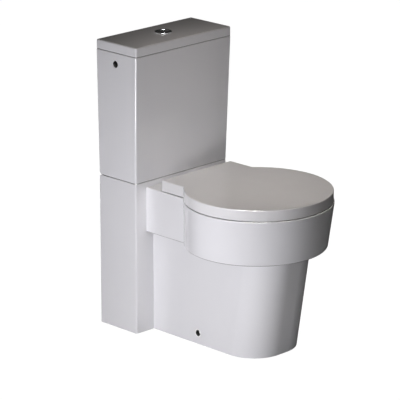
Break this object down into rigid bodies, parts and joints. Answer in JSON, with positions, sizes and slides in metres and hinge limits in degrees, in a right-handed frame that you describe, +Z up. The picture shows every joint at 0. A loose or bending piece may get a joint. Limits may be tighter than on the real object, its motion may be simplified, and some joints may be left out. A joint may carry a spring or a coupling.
{
  "type": "close coupled toilet",
  "caption": "Close coupled toilet: back-to-wall pan with a round bowl drum, tapered cistern with dual flush valve, and a round seat under a wrap-over lid.",
  "frame": {"origin": "on the floor at the wall, on the centre line: the foot of the flat back that stands against the wall", "axes": "+X to the right of a person facing the pan, +Y towards the wall, +Z up"},
  "size_m": [0.4145, 0.6279, 0.797],
  "materials": {
    "glazed_china": "gloss",
    "seat_plastic": "gloss",
    "white_plastic": "satin",
    "valve_plastic": "satin",
    "clear_buffer": "matte",
    "black_rubber": "matte",
    "red_rubber": "matte",
    "chrome": "polished",
    "stainless": "satin",
    "brass_bolt": "satin"
  },
  "bodies": {
    "root": {"pan": "glazed_china", "bowl_and_trap": "glazed_china", "fixing_sleeve_left": "white_plastic", "fixing_sleeve_right": "white_plastic", "cistern": "glazed_china", "cistern_lid": "glazed_china", "coupling_bolts": "brass_bolt", "coupling_bolt_seals": "black_rubber", "coupling_deck_seals": "black_rubber", "coupling_washers": "stainless", "coupling_wing_nuts": "brass_bolt", "coupling_gasket": "black_rubber", "hinge_bases": "chrome", "hinge_pins": "stainless", "hinge_studs": "stainless", "hinge_bushes": "black_rubber", "hinge_nuts": "stainless", "button_housing": "chrome", "button_clamp_nut": "valve_plastic", "full_button_spring": "stainless", "half_button_spring": "stainless", "flush_valve_body": "valve_plastic", "flush_valve_gasket": "black_rubber", "flush_valve_back_nut": "valve_plastic", "flush_lever_pin": "stainless", "fill_valve_body": "valve_plastic", "fill_valve_seal": "black_rubber", "inlet_washer": "white_plastic", "inlet_back_nut": "white_plastic", "refill_pipe": "valve_plastic", "float_arm_pin": "stainless"},
    "cover": {"seat_cover": "seat_plastic", "cover_buffers": "clear_buffer"},
    "seat": {"seat_ring": "seat_plastic", "seat_buffers": "clear_buffer"},
    "full_button": {"full_flush_button": "chrome", "full_push_rod": "valve_plastic"},
    "half_button": {"half_flush_button": "chrome", "half_push_rod": "valve_plastic"},
    "lever": {"flush_lever": "valve_plastic"},
    "lift": {"overflow_tube": "valve_plastic", "flush_seal": "red_rubber"},
    "float": {"float_arm": "valve_plastic", "float_screw": "stainless", "float_cup": "white_plastic"}
  },
  "joints": [
    {"name": "cover_lift", "type": "hinge", "parent": "root", "child": "cover", "pos_m": [0, -0.205, 0.421], "axis": [-1, 0, 0], "range_deg": [0, 95]},
    {"name": "seat_lift", "type": "hinge", "parent": "root", "child": "seat", "pos_m": [0, -0.205, 0.421], "axis": [-1, 0, 0], "range_deg": [0, 92]},
    {"name": "full_flush_press", "type": "slide", "parent": "root", "child": "full_button", "axis": [0, 0, -1], "range_m": [0, 0.005], "stiffness_N_per_m": 900, "springref_m": -0.006, "deforming": ["full_button_spring"]},
    {"name": "half_flush_press", "type": "slide", "parent": "root", "child": "half_button", "axis": [0, 0, -1], "range_m": [0, 0.005], "stiffness_N_per_m": 600, "springref_m": -0.006, "deforming": ["half_button_spring"]},
    {"name": "lever_swing", "type": "hinge", "parent": "root", "child": "lever", "pos_m": [0, -0.073, 0.7223], "axis": [0, -1, 0], "range_deg": [0, 25]},
    {"name": "valve_lift", "type": "slide", "parent": "root", "child": "lift", "axis": [0, 0, 1], "range_m": [0, 0.01]},
    {"name": "float_swing", "type": "hinge", "parent": "root", "child": "float", "pos_m": [0.12307, -0.073, 0.731], "axis": [0, 1, 0], "range_deg": [0, 18]}
  ],
  "couplings": [
    {"joint": "seat_lift", "follows": "cover_lift", "ratio": 0.965},
    {"joint": "lever_swing", "follows": "full_flush_press", "rad_per_m": 85.94},
    {"joint": "valve_lift", "follows": "full_flush_press", "ratio": 2}
  ]
}
